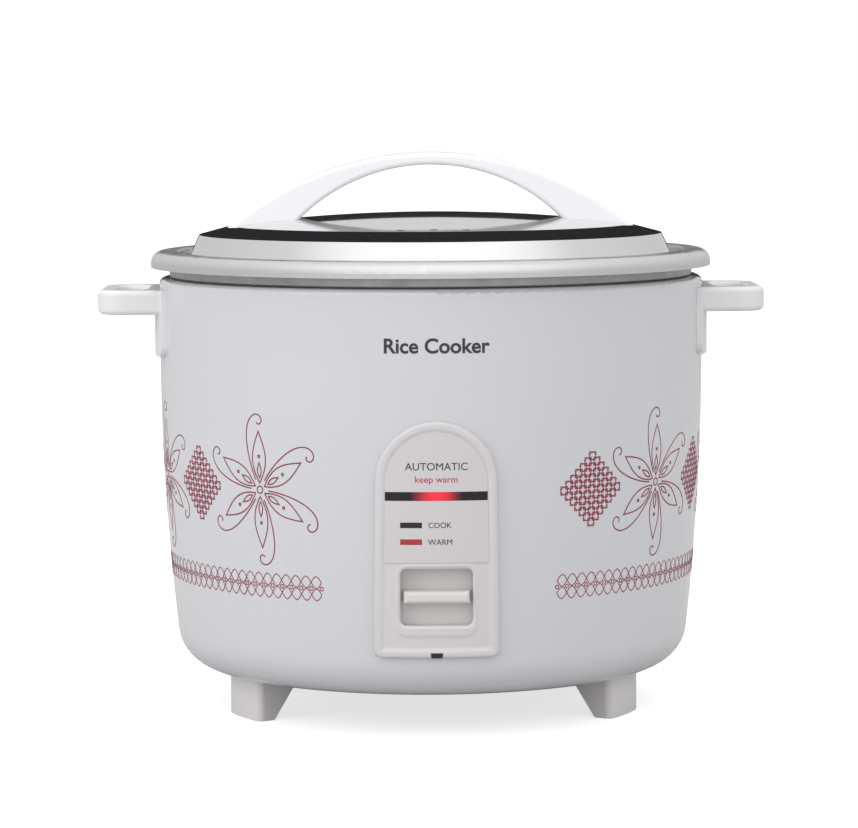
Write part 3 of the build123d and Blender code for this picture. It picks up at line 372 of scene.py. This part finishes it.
PRINT_HEIGHT = 115.3
PRINT_LINE = 0.00062
DEGREE = SHELL_RADIUS / MM * math.pi / 180  # millimetres round the drum
FLOWER_ANGLES = (-38.3, -76.8, -115.3, 52.6, 91.1, 129.6)
LOZENGE_ANGLES = (-57.5, -96.0, -134.6, 33.5, 71.9, 110.4)
PETALS = 6
PETAL_START = 3.2
PETAL_END = 27.0
PETAL_HALF_WIDTH = 3.9
VEIN_END = 12.5
VEIN_HALF_WIDTH = 1.1
SEED_PLACE = 15.4
SEED_RADIUS = 0.6
EYE_RADIUS = 1.7
TENDRIL_LENGTH = 43.0
NET_PITCH = 3.6
NET_ROWS = 7
NET_SWING = 0.72
NET_LINE = 0.00046
BORDER_LINE = 0.00045
BORDER_START = 25.8  # degrees round from the front
BORDER_END = 337.2
BORDER_LOW = 65.2
BORDER_HIGH = 76.7


def placed(points, middle, turn=0.0):
    """Points turned about the drawing's own centre and moved to a place on the drum."""
    c, s = math.cos(turn), math.sin(turn)
    return [(middle + x * c - y * s, PRINT_HEIGHT + x * s + y * c) for x, y in points]


def ring(x, y, radius, steps=10):
    """A closed round line."""
    return [(x + radius * math.cos(n * math.tau / steps), y + radius * math.sin(n * math.tau / steps))
            for n in range(steps)]


def leaf(start, end, half_width, steps=12):
    """A closed leaf shape along x, pointed at both ends."""
    upper = []
    for n in range(steps + 1):
        part = n / steps
        upper.append((start + (end - start) * part, half_width * math.sin(math.pi * part**0.9)))
    return upper + [(x, -y) for x, y in upper[-2:0:-1]]


def curl(x, y, heading, length, bend, hook, steps):
    """An open line that bends gently and ends in a tight hook."""
    points = [(x, y)]
    for n in range(steps):
        heading -= (bend + hook * ((n + 0.5) / steps) ** 5) * length / steps
        x += math.cos(heading) * length / steps
        y += math.sin(heading) * length / steps
        points.append((x, y))
    return points


def flower(middle):
    """Six pointed petals round a small ring, with a curled tendril beside each one."""
    petal = leaf(PETAL_START, PETAL_END, PETAL_HALF_WIDTH)
    vein = leaf(PETAL_START + 2.4, VEIN_END, VEIN_HALF_WIDTH, 8)
    seed = ring(SEED_PLACE, 0, SEED_RADIUS, 6)
    tendril = curl(4.6, 2.3, math.radians(26), TENDRIL_LENGTH, bend=0.018, hook=0.72, steps=36)
    strokes = [(placed(ring(0, 0, EYE_RADIUS), middle), True)]
    for n in range(PETALS):
        turn = math.radians(90 + n * 360 / PETALS)
        for line in (petal, vein, seed):
            strokes.append((placed(line, middle, turn), True))
        strokes.append((placed(tendril, middle, turn), False))
    return strokes


def lozenge(middle):
    """A square net of crossing waves, standing on its corner."""
    half = NET_ROWS * NET_PITCH / 2
    swing = NET_SWING * NET_PITCH
    strokes = []
    for row in range(NET_ROWS):
        level = (row - (NET_ROWS - 1) / 2) * NET_PITCH
        for sign in (-1, 1):
            wave = []
            for n in range(NET_ROWS * 4 + 1):
                along = -half + n * NET_PITCH / 4
                wave.append((along, level + sign * swing * math.sin(math.pi * (along + half) / NET_PITCH)))
            for turn in (45, 135):
                strokes.append((placed(wave, middle, math.radians(turn)), False))
    return strokes


def border():
    """A band of interlaced waves round the back, which stops either side of the panel."""
    swing = (BORDER_HIGH - BORDER_LOW) / 4
    stride = 1.9 * swing
    start = BORDER_START * DEGREE
    halves = 2 * int((BORDER_END - BORDER_START) * DEGREE / (2 * stride))
    strokes = []
    for level in (BORDER_LOW + swing, BORDER_HIGH - swing):
        for sign in (-1, 1):
            wave = []
            for n in range(halves * 4 + 1):
                wave.append((start + n * stride / 4, level + sign * swing * math.sin(n * math.pi / 4)))
            strokes.append((wave, False))
    for n in range(halves + 1):
        strokes.append((ring(start + n * stride, (BORDER_LOW + BORDER_HIGH) / 2, 0.9, 8), True))
    return strokes


def print_drum():
    """The pattern round both sides of the drum, and the border under it."""
    for n, angle in enumerate(FLOWER_ANGLES):
        ink_lines(f"flower_print_{n}", flower(angle * DEGREE), PRINT_LINE, PRINT_INK)
    for n, angle in enumerate(LOZENGE_ANGLES):
        ink_lines(f"lozenge_print_{n}", lozenge(angle * DEGREE), NET_LINE, PRINT_INK)
    ink_lines("border_print", border(), BORDER_LINE, PRINT_INK)


def print_words():
    """The name on the drum, and the small words on the panel's label."""
    lettering("body_lettering", "Rice Cooker", 0.6, 183.0, 48.0, PRINT_RISE, "white_body", LEGEND_INK, 0.022)
    for name, words, middle, height, width, ink in (
        ("title_lettering", "AUTOMATIC", 0, 128.6, 28.0, LEGEND_INK),
        ("title_note", "keep warm", 0, 122.3, 19.0, TITLE_INK),
        ("cook_legend", "COOK", 1.6, 101.8, 10.4, LEGEND_INK),
        ("warm_legend", "WARM", 1.6, 94.1, 11.0, LEGEND_INK),
    ):
        lettering(name, words, middle, height, width, LABEL_PROUD + PRINT_RISE, "label_film", ink)


print_drum()
print_words()

# ------------------------------------------------------------------ control panel

PANEL_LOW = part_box("control_panel")[0].z
PANEL_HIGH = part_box("control_panel")[1].z
PANEL_HALF_WIDTH = 0.0289
PANEL_ARCH = 0.0278
PANEL_CORNER = 0.0042
PANEL_PROUD = 0.0030
PANEL_ROUND = 0.0016
FACE_PROUD = 0.0022
FACE_START = 0.0026
FACE_END = 0.0052
WINDOW_HEIGHT = 0.0685
WINDOW_HALF = (0.0165, 0.0133)
WINDOW_CORNER = 0.0030
WINDOW_EASE = 0.0012
WINDOW_SINK = 0.0008
TUNNEL_WALL = 0.0015
TUNNEL_END = -0.1221
FRAME_HEIGHT = 0.0668
FRAME_HALF = (0.0186, 0.0169)
FRAME_CORNER = 0.0055
FRAME_RISE = 0.00042
FRAME_TOP = 0.0842
NOTCH_HALF_WIDTH = 0.0026
NOTCH_HEIGHT = 0.0025
NOTCH_PROUD = 0.0004
BACK_GAP = 0.00005
PANEL_COLUMNS = 120
PANEL_ROWS = 220


def panel_half_width(height):
    """Half the panel's width at a height."""
    arch_height = PANEL_HIGH - PANEL_ARCH
    if height > arch_height:
        return math.sqrt(max(1e-8, PANEL_ARCH**2 - (height - arch_height) ** 2))
    taper = (height - PANEL_LOW) / (arch_height - PANEL_LOW)
    width = PANEL_HALF_WIDTH + (PANEL_ARCH - PANEL_HALF_WIDTH) * taper
    up = PANEL_CORNER - (height - PANEL_LOW)
    if up > 0:
        width -= PANEL_CORNER - math.sqrt(max(0.0, PANEL_CORNER**2 - up**2))
    return width


def panel_depth_in(x, height):
    """Distance in from the panel's outline."""
    arch_height = PANEL_HIGH - PANEL_ARCH
    if height > arch_height:
        return PANEL_ARCH - math.hypot(x, height - arch_height)
    side = panel_half_width(max(height, PANEL_LOW + PANEL_CORNER)) - abs(x)
    foot = height - PANEL_LOW
    if side < PANEL_CORNER and foot < PANEL_CORNER:
        return PANEL_CORNER - math.hypot(PANEL_CORNER - side, PANEL_CORNER - foot)
    return min(side, foot)


def smooth(value, low, high):
    """Eases from 0 at low to 1 at high."""
    part = min(1.0, max(0.0, (value - low) / (high - low)))
    return part * part * (3 - 2 * part)


def outside_box(x, height, middle, half, corner):
    """Distance outside a rounded rectangle; negative inside it."""
    dx = abs(x) - half[0] + corner
    dz = abs(height - middle) - half[1] + corner
    return math.hypot(max(dx, 0), max(dz, 0)) + min(max(dx, dz), 0) - corner


def panel_rise(x, height):
    """How far the panel's front stands out of the drum."""
    if abs(x) < NOTCH_HALF_WIDTH and height < PANEL_LOW + NOTCH_HEIGHT:
        return NOTCH_PROUD
    depth = panel_depth_in(x, height)
    slope = 1 - min(1.0, max(0.0, depth / PANEL_ROUND))
    rise = PANEL_PROUD - PANEL_ROUND * (1 - math.sqrt(1 - slope**2)) * 0.85
    rise -= (PANEL_PROUD - FACE_PROUD) * smooth(depth, FACE_START, FACE_END)
    past_frame = outside_box(x, height, FRAME_HEIGHT, FRAME_HALF, FRAME_CORNER)
    rise += FRAME_RISE * (1 - smooth(past_frame, -0.0012, 0.0006)) * smooth(FRAME_TOP - height, 0.0, 0.0008)
    past_window = outside_box(x, height, WINDOW_HEIGHT, WINDOW_HALF, WINDOW_CORNER)
    rise -= WINDOW_SINK * (1 - smooth(past_window, 0.0, WINDOW_EASE))
    return rise


def crowded(place):
    """Moves a place from -1 to 1 nearer the ends, where the panel's rim needs a finer mesh."""
    return 0.6 * place + 0.4 * math.sin(math.pi / 2 * place)


def panel_cutter():
    """A rounded bar through the panel's window."""
    bpy.ops.mesh.primitive_cube_add(size=1, location=(0, -0.125, WINDOW_HEIGHT))
    bar = bpy.context.object
    bar.scale = (2 * WINDOW_HALF[0], 0.05, 2 * WINDOW_HALF[1])
    bpy.ops.object.transform_apply(location=True, rotation=True, scale=True)
    for edge in bar.data.edges:
        first, second = (bar.data.vertices[n].co for n in edge.vertices)
        edge.select = abs(first.x - second.x) < 1e-6 and abs(first.z - second.z) < 1e-6
    bpy.ops.object.mode_set(mode="EDIT")
    bpy.ops.mesh.select_mode(type="EDGE")
    bpy.ops.mesh.bevel(offset=WINDOW_CORNER, segments=8)
    bpy.ops.object.mode_set(mode="OBJECT")
    return bar


def model_panel():
    """A moulded panel with a soft rim, a raised window frame and a tunnel behind it."""
    bpy.ops.mesh.primitive_grid_add(x_subdivisions=PANEL_COLUMNS, y_subdivisions=PANEL_ROWS, size=2)
    panel = bpy.context.object
    panel.name = "moulded_panel"
    count = len(panel.data.vertices)
    bpy.ops.object.mode_set(mode="EDIT")
    bpy.ops.mesh.select_all(action="SELECT")
    bpy.ops.mesh.extrude_region_move()
    bpy.ops.object.mode_set(mode="OBJECT")
    middle = (PANEL_LOW + PANEL_HIGH) / 2
    half = (PANEL_HIGH - PANEL_LOW) / 2
    for n, corner in enumerate(panel.data.vertices):
        height = middle + crowded(corner.co.y) * half
        x = crowded(corner.co.x) * panel_half_width(height)
        tunnel = (abs(x) < WINDOW_HALF[0] + TUNNEL_WALL
                  and abs(height - WINDOW_HEIGHT) < WINDOW_HALF[1] + TUNNEL_WALL)
        out = panel_rise(x, height) if n >= count else BACK_GAP
        y = -math.sqrt((drum_radius(height) + out) ** 2 - x**2)
        if n < count and tunnel:
            y = TUNNEL_END
        corner.co = (x, y, height)
    panel.data.update()
    bpy.ops.object.mode_set(mode="EDIT")
    bpy.ops.mesh.select_all(action="SELECT")
    bpy.ops.mesh.remove_doubles(threshold=0.000002)
    bpy.ops.mesh.normals_make_consistent(inside=False)
    bpy.ops.object.mode_set(mode="OBJECT")
    panel.select_set(False)
    cutter = panel_cutter()
    bpy.ops.object.select_all(action="DESELECT")
    panel.select_set(True)
    bpy.context.view_layer.objects.active = panel
    cut = panel.modifiers.new("window", "BOOLEAN")
    cut.object = cutter
    cut.solver = "EXACT"
    bpy.ops.object.modifier_apply(modifier=cut.name)
    bpy.data.objects.remove(cutter)
    bpy.ops.object.shade_smooth_by_angle(angle=math.radians(38))
    wear(panel, FINISHES["panel_plastic"])
    belongs(panel, "housing", "panel_plastic", "control_panel")
    panel.select_set(False)


model_panel()

# ------------------------------------------------------------------ stage

HORIZON_LIGHT = 0.6
ZENITH_LIGHT = 1.0
FRONT_LIGHT = 0.45
FLOOR_SHADE = 0.5
FLOOR_GLOW = 0.72
BOUNCE_SHADE = 0.54
COOKER_MIDDLE = Vector((0, 0, 0.15))
BOARD_DISTANCE = 2.4
BOARD_HALF_WIDTH = 0.62
BOARD_FOOT = 0.02
BOARD_TOP = 2.2
SLOT_HALF_WIDTH = 0.178
SLOT_FOOT = 0.58
SLOT_TOP = 1.2


def add_world():
    """A white backdrop whose light is strongest from above."""
    world = bpy.data.worlds.new("studio")
    bpy.context.scene.world = world
    world.use_nodes = True
    tree = world.node_tree
    place = tree.nodes.new("ShaderNodeTexCoord").outputs["Generated"]
    split = tree.nodes.new("ShaderNodeSeparateXYZ")
    rise = tree.nodes.new("ShaderNodeMapRange")
    rise.inputs["From Min"].default_value = -0.1
    rise.inputs["From Max"].default_value = 0.9
    rise.inputs["To Min"].default_value = HORIZON_LIGHT
    rise.inputs["To Max"].default_value = ZENITH_LIGHT
    facing = tree.nodes.new("ShaderNodeVectorMath")
    facing.operation = "DOT_PRODUCT"
    facing.inputs[1].default_value = (0, -0.8, 0.6)
    glow = tree.nodes.new("ShaderNodeMapRange")
    glow.interpolation_type = "SMOOTHSTEP"
    glow.inputs["From Min"].default_value = 0.35
    glow.inputs["From Max"].default_value = 1.0
    glow.inputs["To Max"].default_value = FRONT_LIGHT
    total = tree.nodes.new("ShaderNodeMath")
    path = tree.nodes.new("ShaderNodeLightPath")
    choose = tree.nodes.new("ShaderNodeMix")
    choose.inputs[3].default_value = 1.0
    tree.links.new(place, split.inputs["Vector"])
    tree.links.new(split.outputs["Z"], rise.inputs["Value"])
    tree.links.new(place, facing.inputs[0])
    tree.links.new(facing.outputs["Value"], glow.inputs["Value"])
    tree.links.new(rise.outputs["Result"], total.inputs[0])
    tree.links.new(glow.outputs["Result"], total.inputs[1])
    tree.links.new(path.outputs["Is Camera Ray"], choose.inputs[0])
    tree.links.new(total.outputs[0], choose.inputs[2])
    tree.links.new(choose.outputs[0], tree.nodes["Background"].inputs["Strength"])
    tree.nodes["Background"].inputs["Color"].default_value = (1, 1, 1, 1)


def add_floor(name, height, shade, glow):
    """A wide plain floor of a grey, which may glow a little to lighten its shadows."""
    bpy.ops.mesh.primitive_plane_add(size=30, location=(0, 0, height))
    floor = bpy.context.object
    floor.name = name
    paper = plastic(f"{name}_paper", (shade, shade, shade), 0.9, relief=0.0, tint=0.002)
    shader = paper.node_tree.nodes["Principled BSDF"]
    shader.inputs["Emission Color"].default_value = (1, 1, 1, 1)
    shader.inputs["Emission Strength"].default_value = glow
    wear(floor, paper)
    return floor


def add_softbox(name, place, size, power):
    """A large soft light that looks at the cooker and isn't mirrored in it."""
    bpy.ops.object.light_add(type="AREA", location=place)
    light = bpy.context.object
    light.name = name
    light.data.shape = "RECTANGLE"
    light.data.size, light.data.size_y = size
    light.data.energy = power
    light.visible_glossy = False
    aim = (COOKER_MIDDLE - Vector(place)).to_track_quat("-Z", "Y")
    light.matrix_world = Matrix.Translation(place) @ aim.to_matrix().to_4x4()


def add_board():
    """A dark board far behind the cooker with an upright slot; only mirrors see it."""
    bpy.ops.mesh.primitive_plane_add(
        size=2 * BOARD_HALF_WIDTH, location=(0, BOARD_DISTANCE, BOARD_TOP / 2), rotation=(math.pi / 2, 0, 0))
    board = bpy.context.object
    board.name = "dark_board"
    bpy.ops.object.transform_apply(location=True, rotation=True, scale=True)
    bpy.ops.object.mode_set(mode="EDIT")
    bpy.ops.mesh.select_mode(type="FACE")
    bpy.ops.mesh.select_all(action="SELECT")
    bpy.ops.mesh.inset(thickness=BOARD_HALF_WIDTH / 2)
    bpy.ops.mesh.delete(type="FACE")
    bpy.ops.object.mode_set(mode="OBJECT")
    middle = BOARD_TOP / 2
    for corner in board.data.vertices:
        inner = abs(corner.co.x) < BOARD_HALF_WIDTH * 0.9
        upper = corner.co.z > middle
        if inner:
            corner.co.x = math.copysign(SLOT_HALF_WIDTH, corner.co.x)
            corner.co.z = SLOT_TOP if upper else SLOT_FOOT
        else:
            corner.co.z = BOARD_TOP if upper else BOARD_FOOT
        corner.co.x += BOARD_DISTANCE * math.tan(-CAMERA_TURN)
    wear(board, plastic("board_cloth", (0.012, 0.012, 0.012), 0.95, relief=0.0, tint=0.1))
    board.visible_camera = False
    board.visible_diffuse = False
    board.visible_shadow = False


def add_stage():
    """Two floors, one to see and one to bounce light, a board for the lid to mirror, and soft lights."""
    add_world()
    floor = add_floor("floor", 0.0, FLOOR_SHADE, FLOOR_GLOW)
    floor.visible_diffuse = False
    floor.visible_glossy = False
    floor.visible_shadow = False
    bounce = add_floor("bounce_floor", -0.5 * MM, BOUNCE_SHADE, 0.0)
    bounce.visible_camera = False
    add_board()
    add_softbox("left_softbox", (-1.7, -1.1, 1.0), (1.0, 1.6), 13)
    add_softbox("right_softbox", (1.9, -1.2, 1.1), (1.0, 1.8), 3.5)
    add_softbox("top_softbox", (0, 0.2, 2.2), (1.6, 1.6), 5)
    bpy.context.scene.view_settings.view_transform = "Standard"


add_stage()
